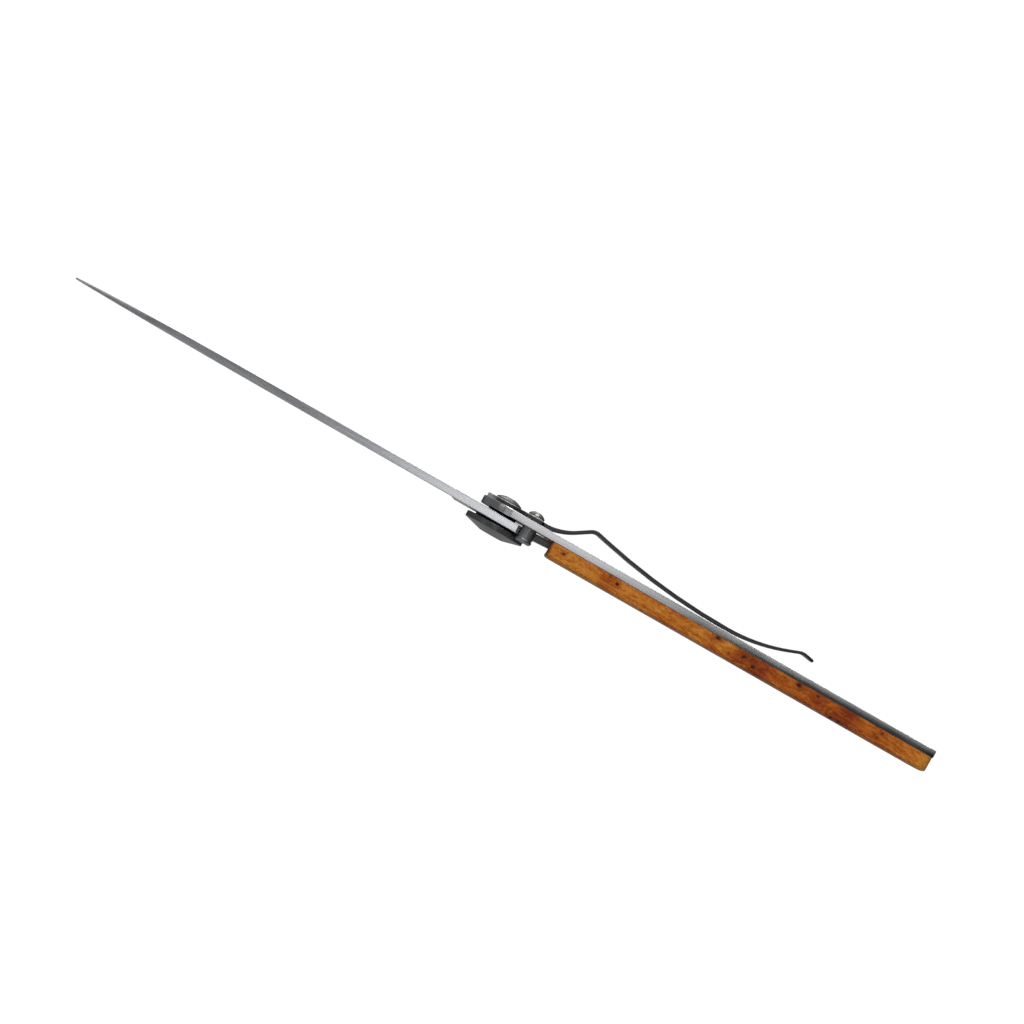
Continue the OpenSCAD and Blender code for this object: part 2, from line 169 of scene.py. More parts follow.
def turnedSteel(name, dark, light, roughness, centre=(0, 0), pitch=0.16, depth=0.003):
    steel = Finish(name, Metallic=1.0)
    spot = steel.place((1, 1, 0), (*centre, 0))
    radius = steel.add("ShaderNodeVectorMath", {"operation": "LENGTH"}, {0: spot}, "Value")
    rings = steel.add("ShaderNodeMath", {"operation": "SINE"}, {0: radius * (2 * math.pi / pitch)})
    grains = steel.noise(steel.place((5, 5, 5)), 1.0, 4, 0.6)
    clouds = steel.noise(steel.place((0.4, 0.4, 0.4), (7, 2, 5)), 1.0, 2)
    wear = (grains * 0.5 + clouds * 0.7).between(0.35, 0.9)
    steel.give("Base Color", steel.mix(wear, dark, light))
    steel.give("Roughness", grains * 0.16 + (roughness - 0.08))
    steel.bump(rings * 0.3 + grains, depth)
    return steel.material


frameLook = {
    "nose": [(-6, 164), (-1.5, 146), (1.2, 240), (1.6, 96), (5, 118)],  # painted light and shade along the nose, from the front, as [x, grey]
    "noseRun": (-6, 10), "wornShare": 0.3, "roughness": 0.17,
    # painted highlight: pale, less metallic steel towards the upper edge, mostly at the rear
    "rear": (40, 66), "paintedSheenHeight": (5.4, 6.6), "paintedSheenAhead": 0.13, "paintedSheenDull": 0.2,
    "paintedSheen": tone(250, 250, 250),
    # painted shade low on the rear
    "shadeHeight": (5.7, 5.2), "shadeShare": 0.6, "shade": tone(70, 71, 74),
}


def frameFinish(look):  # brushed lengthwise, with painted light and shade along the nose, a painted highlight along the rear's upper edge and painted shade low on the rear
    steel = Finish("frameSteel")
    paleMask = brushing(steel, look["roughness"])
    along, _, height = steel.apart(steel.place())
    rear = along.between(*look["rear"])
    ahead = look["paintedSheenAhead"]
    # painted highlight towards the upper edge, growing towards the rear
    paintedSheen = (rear * (1 - ahead) + ahead) * height.between(*look["paintedSheenHeight"])
    start, stop = look["noseRun"]
    # painted light and shade along the nose
    stops = [((x - start) / (stop - start), tone(grey, grey, grey + 3)) for x, grey in look["nose"]]
    base = steel.ramp(along.between(start, stop, smooth=False), stops)
    colour = steel.mix(paleMask * look["wornShare"], base, tone(255, 255, 255))
    # painted shade low on the rear
    shaded = rear * height.between(*look["shadeHeight"]) * look["shadeShare"]
    colour = steel.mix(shaded, colour, look["shade"])
    steel.give("Base Color", steel.mix(paintedSheen, colour, look["paintedSheen"]))
    steel.give("Metallic", 1 - paintedSheen * look["paintedSheenDull"])
    return steel.material


frameSteel = frameFinish(frameLook)
# lock bar: the frame's steel darkened, painted shade
shadedLeafSteel = brushedSteel("shadedLeafSteel", tone(76, 76, 77), tone(108, 108, 109), 0.34)
# washers: near white and barely metallic, a painted highlight along their edges
washerGlintSteel = brushedSteel("washerGlintSteel", tone(225, 225, 226), tone(245, 245, 246), 0.4,
                           metallic=0.1, lines=(3, 3, 3), depth=0.002)
bolsterSteel = turnedSteel("bolsterSteel", tone(94, 95, 95), tone(126, 126, 126), 0.34)
nutSteel = turnedSteel("nutSteel", tone(112, 113, 114), tone(146, 147, 148), 0.3, pitch=0.1)
ballSteel = turnedSteel("ballSteel", tone(200, 200, 202), tone(225, 225, 228), 0.12)


def slideFinish():
    washer = Finish("slideWasher", Roughness=0.6)
    grains = washer.noise(washer.place((6, 6, 6)), 1.0, 4)
    washer.give("Base Color", washer.mix(grains, tone(20, 20, 21), tone(44, 43, 42)))
    washer.bump(grains, 0.006)
    return washer.material


def bladeFinish(name, dark, light, roughness):
    steel = Finish(name, Metallic=1.0)
    facing = steel.apart(steel.add("ShaderNodeTexCoord", out="Normal"))[2]
    onFace = abs(facing).between(0.5, 0.9)
    # The faces are ground from spine to edge, and the spine is brushed lengthwise
    across = steel.noise(steel.place((4, 0.12, 1)), 1.0, 4, 0.6)
    along = steel.noise(steel.place((0.05, 1.4, 1.6), (5, 3, 1)), 1.0, 4, 0.6)
    hairs = across * onFace + along * (1 - onFace)
    clouds = steel.noise(steel.place((0.09, 0.3, 0.4), (2, 8, 4)), 1.0, 3)
    steel.give("Base Color", steel.mix((hairs * 0.7 + clouds * 0.4).between(0.3, 0.85), dark, light))
    steel.give("Roughness", hairs * 0.14 + clouds * 0.08 + (roughness - 0.1))
    steel.bump(hairs, 0.0002)
    return steel.material


bladeSteel = bladeFinish("bladeSteel", tone(184, 185, 189), tone(216, 217, 221), 0.2)
edgeSteel = bladeFinish("edgeSteel", tone(150, 151, 154), tone(178, 179, 183), 0.34)
slideWasher = slideFinish()


coatLook = {"dark": tone(58, 57, 56), "light": tone(96, 95, 94), "noseHighlight": tone(232, 234, 237),
            "highlightFrom": -0.6, "highlightTo": -3.4, "ragged": 2.4}


def clipFinish(look):  # a dark coating, with a painted pale highlight round the nose
    steel = Finish("clipSteel", Metallic=1.0)
    grain = steel.noise(steel.place((0.1, 4, 4)), 1.0, 4, 0.6)
    scuffs = steel.noise(steel.place((1.5, 1.5, 1.5), (4, 1, 0)), 1.0, 4, 0.7)
    along = steel.apart(steel.place())[0]
    # painted highlight: pale steel colour towards the nose, ragged at its edge
    paleMask = (along + scuffs * look["ragged"]).between(look["highlightFrom"], look["highlightTo"])
    coat = steel.mix(grain * 0.8 + scuffs * 0.3, look["dark"], look["light"])
    steel.give("Base Color", steel.mix(paleMask * 0.9, coat, look["noseHighlight"]))
    steel.give("Roughness", paleMask * 0.25 + grain * 0.1 + 0.28)
    steel.bump(grain, 0.001)
    return steel.material


clipSteel = clipFinish(coatLook)
print("metals mixed")


# Wood: where the eyes of the burl sit, as [x, z, radius], and how its tone wanders, as [x, depth]

woodLook = {
    "eyes": [(15.2, 3.9, 0.3), (28.0, 3.95, 0.34), (51.7, 4.8, 0.55), (58.2, 3.9, 0.5), (60.8, 3.0, 0.36),
             (71.1, 4.45, 0.5), (75.7, 4.5, 0.22), (80.1, 1.75, 0.5), (81.9, 1.9, 0.45), (91.1, 4.3, 0.22),
             (90.5, 3.0, 0.2)],
    "tones": [(13, 0.2), (20, 0.12), (23, 0.22), (26, 0.62), (29, 0.25), (36, 0.35), (43, 0.45), (47, 0.3),
              (51, 0.5), (54, 0.35), (58, 0.85), (63, 0.95), (67, 0.6), (70, 0.65), (75, 0.85), (79, 0.75),
              (83, 1.0), (87, 0.6), (91, 0.72), (95, 0.55), (99, 0.35), (102.5, 0.15)],
    "pale": tone(226, 162, 72), "honey": tone(214, 132, 40), "amber": tone(184, 92, 16),
    "red": tone(126, 44, 6),
    "eye": tone(62, 24, 7), "grainDark": 0.6, "bumpDepth": 0.03,
}


def woodFinish(look):
    wood = Finish("burlWood", Specular_IOR_Level=0.25)
    low, high = [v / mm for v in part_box("handle_scale")]
    xSpot, ySpot, zSpot = wood.apart(wood.place())
    drift = wood.noise(wood.place((0.05, 0.16, 0.3), (9, 4, 1)), 1.0, 2)
    ragged = wood.noise(wood.place((1.6, 1.6, 1.6), (2, 5, 1)), 1.0, 3, 0.6)
    eyes = halo = None
    for x, z, radius in look["eyes"]:
        reach = wood.place((1 / 1.25, 0.1, 1), (x, low.y, z))
        far = wood.add("ShaderNodeVectorMath", {"operation": "LENGTH"}, {0: reach}, "Value") / radius
        far = far + (ragged - 0.5) * 2.2
        core, ring = far.between(1.15, 0.45), far.between(3.2, 0.6)
        eyes = core if eyes is None else eyes.most(core)
        halo = ring if halo is None else halo.most(ring)
    # Growth rings run lengthwise, wander, and part round each eye
    rings = zSpot + ySpot * 0.3 + drift * 5 + halo * 0.9 + xSpot * xSpot * 0.0007
    flow = wood.add("ShaderNodeCombineXYZ", None, {0: xSpot * 0.12, 1: ySpot * 0.35, 2: rings * 1.6})
    bands = wood.noise(flow, 1.0, 4, 0.62)
    grain = wood.add("ShaderNodeCombineXYZ", None, {0: xSpot * 0.45, 1: ySpot * 2, 2: rings * 5})
    fine = wood.noise(grain, 1.0, 5, 0.7)
    pores = wood.noise(wood.place((1.2, 9, 7), (4, 6, 2)), 1.0, 3, 0.6).between(0.6, 0.75)
    mottle = wood.noise(wood.place((0.35, 0.6, 0.7), (1, 7, 3)), 1.0, 4, 0.6, 0.6)
    speckle = wood.noise(wood.place((1.9, 2.2, 2.6), (3, 2, 8)), 1.0, 4, 0.7, 1.6)
    along = xSpot.between(low.x, high.x, smooth=False)
    depthStops = [((x - low.x) / (high.x - low.x), (d, d, d, 1)) for x, d in look["tones"]]
    depth = wood.ramp(along, depthStops, "EASE")
    shade = depth * 0.7 + (mottle - 0.5) * 0.8 + (bands - 0.5) * 0.8 + 0.18
    shade = shade + (fine - 0.5) * 0.9 + (speckle - 0.5) * 1.4
    colour = wood.ramp(shade, [(0.0, look["pale"]), (0.3, look["honey"]), (0.6, look["amber"]),
                               (1.0, look["red"])])
    colour = wood.mix(fine.between(0.5, 0.68) * look["grainDark"] + pores * 0.35, colour, look["red"])
    colour = wood.mix(halo * 0.55, colour, look["red"])
    # Darker at both ends, with painted shade along the top rim under the frame and along the bottom rim,
    # in the eye colour
    ends = xSpot.between(low.x + 0.9, low.x + 0.1) + xSpot.between(high.x - 0.5, high.x)
    rimShade = zSpot.between(low.z + 0.16, low.z) * 0.6 + zSpot.between(high.z - 0.16, high.z) * 0.6
    darkEndsAndRimShade = ends.most(rimShade)
    colour = wood.mix(eyes.most(darkEndsAndRimShade * 0.8), colour, look["eye"])
    wood.give("Base Color", colour)
    wood.give("Roughness", 0.5 - bands * 0.12 + pores * 0.15 + eyes * 0.1)
    wood.bump(fine * 0.5 - pores * 0.5 - eyes * 0.8 + bands * 0.2, look["bumpDepth"])
    return wood.material


burlWood = woodFinish(woodLook)
print("wood mixed")


# Shapes

def fillet(before, corner, after, radius, step=12):
    toBefore, toAfter = (before - corner).normalized(), (after - corner).normalized()
    half = math.acos(max(-1, min(1, toBefore.dot(toAfter)))) / 2
    centre = corner + (toBefore + toAfter).normalized() * radius / math.sin(half)
    start = corner + toBefore * radius / math.tan(half) - centre
    stop = corner + toAfter * radius / math.tan(half) - centre
    first = math.atan2(start.y, start.x)
    turn = (math.atan2(stop.y, stop.x) - first + math.pi) % (2 * math.pi) - math.pi
    steps = max(1, math.ceil(abs(turn) / math.radians(step)))
    angles = [first + turn * i / steps for i in range(steps + 1)]
    return [centre + radius * Vector((math.cos(a), math.sin(a))) for a in angles]


def rounded(corners, step=12):  # corners as (x, y, radius)
    at = [Vector(c[:2]) for c in corners]
    points = []
    for i, corner in enumerate(corners):
        if corner[2]:
            points += fillet(at[i - 1], at[i], at[(i + 1) % len(at)], corner[2], step)
        else:
            points.append(at[i])
    return points


def spanAt(outline, x):  # lowest and highest y of a closed outline at x
    hits = []
    for a, b in zip(outline, outline[1:] + outline[:1]):
        if min(a.x, b.x) <= x <= max(a.x, b.x) and a.x != b.x:
            hits.append(a.y + (b.y - a.y) * (x - a.x) / (b.x - a.x))
    return min(hits), max(hits)


def makeObject(name, verts, faces):
    mesh = bpy.data.meshes.new(name)
    mesh.from_pydata([tuple(c * mm for c in v) for v in verts], [], faces)
    work = bmesh.new()
    work.from_mesh(mesh)
    bmesh.ops.recalc_face_normals(work, faces=work.faces)
    work.to_mesh(mesh)
    work.free()
    piece = bpy.data.objects.new(name, mesh)
    bpy.context.scene.collection.objects.link(piece)
    return piece


def settle(piece):  # applies the modifiers
    mesh = bpy.data.meshes.new_from_object(piece.evaluated_get(bpy.context.evaluated_depsgraph_get()))
    piece.modifiers.clear()
    piece.data = mesh


def cutOut(piece, cutters):
    for cutter in cutters:
        cut = piece.modifiers.new("cut", "BOOLEAN")
        cut.operation, cut.solver, cut.object = "DIFFERENCE", "EXACT", cutter
    settle(piece)
    for cutter in cutters:
        bpy.data.objects.remove(cutter)


def fit(piece, body, slot, nodes, *materials, sharp=32):
    piece.data.materials.clear()
    for material in materials:
        piece.data.materials.append(material)
    piece.data.shade_smooth()
    piece.data.set_sharp_from_angle(angle=math.radians(sharp))
    even = piece.modifiers.new("evenNormals", "WEIGHTED_NORMAL")
    even.keep_sharp = True  # and flat faces stay flat beside rounded edges
    piece.data.transform(Matrix.Scale(1 / mm, 4))  # faces this small in metres would be passed over
    settle(piece)
    piece.data.transform(Matrix.Scale(mm, 4))
    if body:
        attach(piece, body)
    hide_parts(*nodes)
    return piece


def turn(name, profile, centre=(0, 0), steps=96):  # a closed profile of (radius, height) spun round Z
    verts, rings = [], []
    for r, z in profile:
        count = steps if r > 1e-6 else 1
        rings.append(range(len(verts), len(verts) + count))
        angles = [2 * math.pi * i / steps for i in range(count)]
        verts += [(centre[0] + r * math.cos(a), centre[1] + r * math.sin(a), z) for a in angles]
    faces = []
    for a, b in zip(rings, rings[1:] + rings[:1]):
        for i in range(steps):
            k = (i + 1) % steps
            if len(a) > 1 and len(b) > 1:
                faces.append((a[i], a[k], b[k], b[i]))
            elif len(a) > 1:
                faces.append((a[i], a[k], b[0]))
            elif len(b) > 1:
                faces.append((a[0], b[k], b[i]))
    return makeObject(name, verts, faces)


def prism(name, sides, width, z0, z1, centre=(0, 0)):  # width across the flats of an even prism
    r = width / 2 / math.cos(math.pi / sides)
    angles = [2 * math.pi * i / sides for i in range(sides)]
    verts = [(centre[0] + r * math.cos(a), centre[1] + r * math.sin(a), z)
             for z in (z0, z1) for a in angles]
    faces = [tuple(range(sides)), tuple(range(sides, 2 * sides))]
    faces += [(i, (i + 1) % sides, sides + (i + 1) % sides, sides + i) for i in range(sides)]
    return makeObject(name, verts, faces)


def soften(name, node, width, segments=2, angle=50):  # the node's own solid with its sharp edges rounded
    piece = bpy.data.objects.new(name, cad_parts[node].data.copy())
    bpy.context.scene.collection.objects.link(piece)
    work = bmesh.new()
    work.from_mesh(piece.data)
    bmesh.ops.remove_doubles(work, verts=work.verts, dist=1e-7)
    bmesh.ops.dissolve_limit(work, angle_limit=math.radians(0.3), verts=work.verts,
                             edges=work.edges)
    for face in work.faces:
        face.smooth = True
    work.to_mesh(piece.data)
    work.free()
    for layer in list(piece.data.color_attributes):
        piece.data.color_attributes.remove(layer)
    bevel = piece.modifiers.new("softEdges", "BEVEL")
    bevel.width, bevel.segments, bevel.limit_method = width * mm, segments, "ANGLE"
    bevel.angle_limit, bevel.use_clamp_overlap = math.radians(angle), False
    settle(piece)
    return piece


def sizes(node):  # lowest and highest corner in millimetres
    low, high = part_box(node)
    return low / mm, high / mm


def roundSizes(node):  # the same, with the centre and radius of an upright round piece
    low, high = sizes(node)
    return low, high, ((low.x + high.x) / 2, (low.y + high.y) / 2), (high.x - low.x) / 2


# Handle: frame, lock bar and wood

handleLook = {"frameEdge": 0.13, "leafEdge": 0.15, "woodEdge": 0.14}

fit(soften("framePlate", "frame", handleLook["frameEdge"]), "handle", "frame_steel", ["frame"],
    frameSteel, sharp=60)
fit(soften("lockLeaf", "lock_bar", handleLook["leafEdge"]), "lock", "frame_steel", ["lock_bar"],
    shadedLeafSteel, sharp=60)
fit(soften("woodScale", "handle_scale", handleLook["woodEdge"], 3), "handle", "burl_wood",
    ["handle_scale"], burlWood, sharp=60)
print("handle built")


# Pivot group and fasteners

screwLook = {
    "sockets": {"pivot_screw": 2.0, "clip_screw": 1.3}, "socketDepth": 0.75,  # across the flats
    "rim": 0.22, "ease": 0.06, "lean": 0.01, "domeSteps": 14, "shank": 0.38,
    "dark": tone(96, 95, 93), "light": tone(138, 137, 134), "roughness": 0.34,
}


def screwSteel(name, centre):
    look = screwLook
    return turnedSteel(name + "Steel", look["dark"], look["light"], look["roughness"], centre, 0.12)


def domedScrew(name, node, look):  # with a hexagonal socket
    low, high, centre, radius = roundSizes(node)
    under = sizes(node + "_washer")[1].z
    rise = high.z - under - look["rim"]
    dome = (radius ** 2 + rise ** 2) / (2 * rise)
    edge = math.asin(radius / dome)
    cap = [(dome * math.sin(edge * t), high.z - dome + dome * math.cos(edge * t))
           for t in [i / look["domeSteps"] for i in range(look["domeSteps"] + 1)]]
    shank = look["shank"] * radius
    profile = [*cap, (radius - look["lean"], under + look["ease"]), (radius - look["ease"], under),
               (shank, under), (shank, low.z), (0, low.z)]
    piece = turn(name, profile, centre)
    cutOut(piece, [prism(name + "Cutter", 6, look["sockets"][node], high.z - look["socketDepth"],
                         high.z + 1, centre)])
    return fit(piece, "handle", "screw_steel", [node], screwSteel(name, centre), sharp=35)


domedScrew("pivotScrew", "pivot_screw", screwLook)
domedScrew("clipScrew", "clip_screw", screwLook)

washerLook = {  # each with its bore's radius and its rounded edge
    "pivot_screw_washer": (1.25, 0.04), "clip_screw_washer": (0.95, 0.04),
    "pivot_washer_frame_side": (2.03, 0.05), "pivot_washer_bolster_side": (2.03, 0.05),
}


def washer(name, node, material, slot):
    low, high, centre, outer = roundSizes(node)
    inner, ease = washerLook[node]
    profile = [(inner, low.z), (outer - ease, low.z), (outer, low.z + ease), (outer, high.z - ease),
               (outer - ease, high.z), (inner, high.z)]
    return fit(turn(name, profile, centre), "handle", slot, [node], material, sharp=35)


washer("pivotScrewRing", "pivot_screw_washer", washerGlintSteel, "bright_washer")
washer("clipScrewRing", "clip_screw_washer", washerGlintSteel, "bright_washer")
washer("frameSideWasher", "pivot_washer_frame_side", slideWasher, "slide_washer")
washer("bolsterSideWasher", "pivot_washer_bolster_side", slideWasher, "slide_washer")

bolsterLook = {"bevel": 1.07, "ease": 0.1, "recess": 2.58, "recessDepth": 0.8, "lip": 0.05, "bore": 2.03}


def bolster(look):
    low, high = sizes("bolster")
    radius = min(high.x - low.x, high.y - low.y) / 2
    corners = [(look["bore"], look["recessDepth"], 0), (look["recess"], look["recessDepth"], 0),
               (look["recess"], 0, 0), (look["recess"] + look["lip"], 0, 0),
               (radius, look["bevel"], look["ease"]), (radius, high.z, look["ease"]),
               (look["bore"], high.z, 0)]
    piece = turn("bolsterDisc", [tuple(p) for p in rounded(corners, 20)], steps=160)
    return fit(piece, "handle", "gunmetal", ["bolster"], bolsterSteel)


bolster(bolsterLook)

nutLook = {"ease": 0.08, "headHeight": 0.8, "barrel": 2.0,
           "holeWide": 0.7, "holeDepth": 0.5, "holeAt": 1.72}


def nut(look):
    _, high, _, radius = roundSizes("pivot_nut")
    ease = look["ease"]
    profile = [(0, 0), (radius - ease, 0), (radius, ease), (radius, look["headHeight"]),
               (look["barrel"], look["headHeight"]), (look["barrel"], high.z), (0, high.z)]
    piece = turn("pivotNut", profile)
    cutOut(piece, [prism("spannerHole", 24, look["holeWide"], -1, look["holeDepth"],
                         (side * look["holeAt"], 0)) for side in (-1, 1)])
    return fit(piece, "handle", "gunmetal", ["pivot_nut"], nutSteel)


nut(nutLook)

stopPinLook = {"footHeight": 0.86, "footEase": 0.35, "footRound": 0.08, "round": 0.05, "body": 1.62,
               "spigot": 1.27}


def stopPin(look):
    low, high, centre, radius = roundSizes("stop_pin")
    frameLow = sizes("frame")[0].z
    foot, ease = low.z + look["footHeight"], look["footEase"]
    corners = [(0, low.z, 0), (radius - ease, low.z, look["round"]),
               (radius, low.z + ease, look["footRound"]), (radius, foot, look["footRound"]),
               (look["body"], foot, look["round"]), (look["body"], frameLow, 0),
               (look["spigot"], frameLow, 0), (look["spigot"], high.z, 0), (0, high.z, 0)]
    steel = turnedSteel("stopPinSteel", tone(130, 131, 133), tone(166, 168, 171), 0.34, centre, 0.1)
    return fit(turn("stopPin", [tuple(p) for p in rounded(corners, 20)], centre), "handle", "gunmetal",
               ["stop_pin"], steel)


stopPin(stopPinLook)

scaleScrewLook = {"thread": 0.7, "socket": 1.17, "socketDepth": 0.55, "cone": 0.65,
                  "easeIn": 0.04, "easeDown": 0.03}


def scaleScrew(name, node, look):
    low, high, centre, radius = roundSizes(node)
    profile = [(0, high.z), (radius - look["easeIn"], high.z), (radius, high.z - look["easeDown"]),
               (look["thread"], high.z - look["cone"]), (look["thread"], low.z), (0, low.z)]
    piece = turn(name, profile, centre, 64)
    cutOut(piece, [prism(name + "Cutter", 6, look["socket"], high.z - look["socketDepth"], high.z + 1,
                         centre)])
    return fit(piece, "handle", "screw_steel", [node], screwSteel(name, centre))


for place in ("front", "middle", "rear"):
    scaleScrew(place + "ScaleScrew", "scale_screw_" + place, scaleScrewLook)
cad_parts["detent_ball"].data.materials.clear()
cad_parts["detent_ball"].data.materials.append(ballSteel)
print("pivot group built")


# Blade

bladeLook = {
    "ricasso": 10, "plunge": 2.4, "notch": 1.7, "edgeStep": 1.1, "edgeThick": 0.36, "edgeWide": 0.8,
    "keenEdge": 0.02, "tipThick": 0.5, "tipFade": 10, "pointLength": 37, "bellyLength": 60,
    "bellyCurve": 2.6, "pointDrop": 0.48, "spineEase": 0.14, "spineInset": 0.04,
    "tangRadius": 6.5, "heelRound": 0.8, "faceHeight": 2.3, "stopGap": 0.03,
    "detent": (-7.6, -2.4, 0.6), "detentDepth": 0.45, "pivotBore": 2.03, "tipSteps": 60,
}


def bladeOutline(look):
    low, high = sizes("blade")
    pinLow, pinHigh = sizes("stop_pin")
    pinX, pinY = (pinLow.x + pinHigh.x) / 2, (pinLow.y + pinHigh.y) / 2
    pinR = stopPinLook["body"] + look["stopGap"]
    spine, heel, belly, face = low.y + look["spineInset"], pinX - pinR, -pinY - pinR, high.x
    around = look["tangRadius"]
    tang = rounded([
        (-look["ricasso"], spine, 0), (heel, spine, look["heelRound"]),
        (heel, -math.sqrt(around ** 2 - heel ** 2) - 0.1, 0.4),
        (face, 0.4 - math.sqrt(around ** 2 - face ** 2), 1.2), (face, look["faceHeight"], 0.8),
        (belly + 0.6, belly, 1.5), (-look["ricasso"], belly, 0)], 9)
    return tang, spine, heel, belly


def bladeSection(x, look, tang, spine, belly):  # half thicknesses down the section at x, spine first
    low, high = sizes("blade")
    thick = (high.z - low.z) / 2
    edge = belly + look["edgeStep"]
    wide = edge - spine
    tip = spine + look["pointDrop"] * wide
    far = x - low.x  # distance from the tip
    ground = min(1, max(0, (-look["ricasso"] - x) / look["plunge"]))
    ground = ground * ground * (3 - 2 * ground)
    if x > -look["ricasso"]:
        y0, y1 = spanAt(tang, x)
    else:
        rise = 1 - (1 - min(1, (-look["ricasso"] - x) / look["notch"])) ** 2
        y0 = spine + (tip - spine) * max(0, 1 - far / look["pointLength"]) ** 2
        y1 = edge - (edge - tip) * max(0, 1 - far / look["bellyLength"]) ** look["bellyCurve"]
        y1 = belly + (y1 - belly) * math.sqrt(rise) if x > -look["ricasso"] - look["notch"] else y1
    keen = min(1, 0.8 + far / look["tipFade"])
    back = keen * (look["tipThick"] + (2 * thick - look["tipThick"]) * (y1 - y0) / wide) / 2
    back = min(thick, back) * ground + thick * (1 - ground)
    shoulder = keen * look["edgeThick"] / 2 * ground + thick * (1 - ground)
    ease = min(look["spineEase"], back * 0.4, (y1 - y0) / 6)
    band = min(look["edgeWide"], (y1 - y0) / 3) * ground + ease * (1 - ground)
    keenEdge = look["keenEdge"] * ground + (thick - ease) * (1 - ground)
    rows = [(y0, back - ease), (y0 + ease * 0.3, back - ease * 0.3), (y0 + ease, back)]
    inner = [0.25, 0.5, 0.75]
    rows += [(y0 + ease + (y1 - band - y0 - ease) * t, back + (shoulder - back) * t) for t in inner]
    return rows + [(y1 - band, shoulder), (y1, keenEdge)]


def blade(look):
    low, high = sizes("blade")
    middle = (low.z + high.z) / 2
    tang, spine, heel, belly = bladeOutline(look)
    # Stations from the tip to the tang's end, closer where the outline turns
    tipRun, count = -look["ricasso"] - look["plunge"] - low.x, look["tipSteps"]
    quarter = [math.sin(math.pi / 2 * i / 24) for i in range(25)]
    afterHeel, end = heel + 0.03, high.x - 0.005
    stations = [low.x + 0.02 + tipRun * (i / count) ** 1.6 for i in range(count)]
    stations += [-look["ricasso"] - look["plunge"] * (1 - i / 12) for i in range(13)]
    stations += [-look["ricasso"] + 0.01, -look["ricasso"] / 2, 0, heel - look["heelRound"]]
    stations += [heel - look["heelRound"] * (1 - q) for q in quarter[3:24:3]]
    stations += [heel - 0.004, heel + 0.012] + [afterHeel + (end - afterHeel) * q for q in quarter[::2]]
    verts, faces = [], []
    for x in stations:
        rows = bladeSection(x, look, tang, spine, belly)
        verts += [(x, y, middle + h) for y, h in rows] + [(x, y, middle - h) for y, h in reversed(rows)]
    count = 2 * len(rows)
    for i in range(len(stations) - 1):
        for k in range(count):
            a, b = i * count + k, i * count + (k + 1) % count
            faces.append((a, b, b + count, a + count))
    faces += [tuple(range(count)), tuple(range(len(verts) - count, len(verts)))]
    piece = makeObject("bladeBody", verts, faces)
    for face in piece.data.polygons:  # the sharpened band takes its own finish
        k = min(v % count for v in face.vertices), max(v % count for v in face.vertices)
        band = len(rows) - 2
        sharpened = k[0] >= band and k[1] <= count - 1 - band
        x = face.center.x / mm
        face.material_index = int(sharpened and x < -look["ricasso"] - look["plunge"] * 0.5)
    dx, dy, dr = look["detent"]
    deep = look["detentDepth"]
    dimple = turn("dimple", [(0, high.z - deep), (dr * 0.7, high.z - deep / 1.5), (dr, high.z),
                             (dr, high.z + 1), (0, high.z + 1)], (dx, dy), 32)
    bore = prism("bore", 64, 2 * look["pivotBore"], low.z - 1, high.z + 1)
    cutOut(piece, [dimple, bore])
    return fit(piece, "blade", "blade_steel", ["blade"], bladeSteel, edgeSteel, sharp=24)


blade(bladeLook)
print("blade built")


# Pocket clip: one bent strip, from the round end under the pivot screw to the free end

clipLook = {
    "rootBend": 12.5, "crestBend": 2.2, "sagBend": 142, "liftBend": 38, "endBend": 2.5, "climb": 33,
    "climbLength": 3, "sag": 12.5, "lift": 21, "endDip": 10, "endLength": 2.2, "restGap": 0.1,
    "liftRun": 2, "rootWide": 6, "tipWide": 4.6, "ease": 0.14, "gap": 0.03, "noseOver": 0.3,
    "thin": 0.74, "thinRun": 6, "tailThin": 0.16, "tailRun": 12,  # the arm is rolled thinner than the root
    "endRound": 0.45, "endRun": 2.4,
}


def clipPath(look, rootX, rootZ):  # middle line of the strip as (x, z, heading), from the root
    climb, sag = math.radians(look["climb"]), math.radians(look["sag"])
    crest = look["rootBend"] * (1 - math.cos(climb)) + look["climbLength"] * math.sin(climb) \
        + look["crestBend"] * (math.cos(sag) - math.cos(climb))
    sagRun = (crest - look["sagBend"] * (1 - math.cos(sag)) - look["restGap"]) / math.sin(sag)
    # Each step is a straight length, or a bend as (radius, degrees)
    bends = [(look["rootBend"], look["climb"]), look["climbLength"],
             (look["crestBend"], -look["climb"] - look["sag"]), sagRun, (look["sagBend"], look["sag"]),
             (look["liftBend"], look["lift"]), look["liftRun"],
             (look["endBend"], -look["lift"] - look["endDip"]), look["endLength"]]
    x, z, heading = rootX, rootZ, 0.0
    path = [(x, z, heading)]
    for bend in bends:
        length, turning = (bend, 0.0) if isinstance(bend, (int, float)) \
            else (bend[0] * math.radians(abs(bend[1])), math.radians(bend[1]))
        steps = max(2, math.ceil(abs(turning) / math.radians(2.5)))
        for _ in range(steps):
            x += length / steps * math.cos(heading + turning / steps / 2)
            z += length / steps * math.sin(heading + turning / steps / 2)
            heading += turning / steps
            path.append((x, z, heading))
    return path


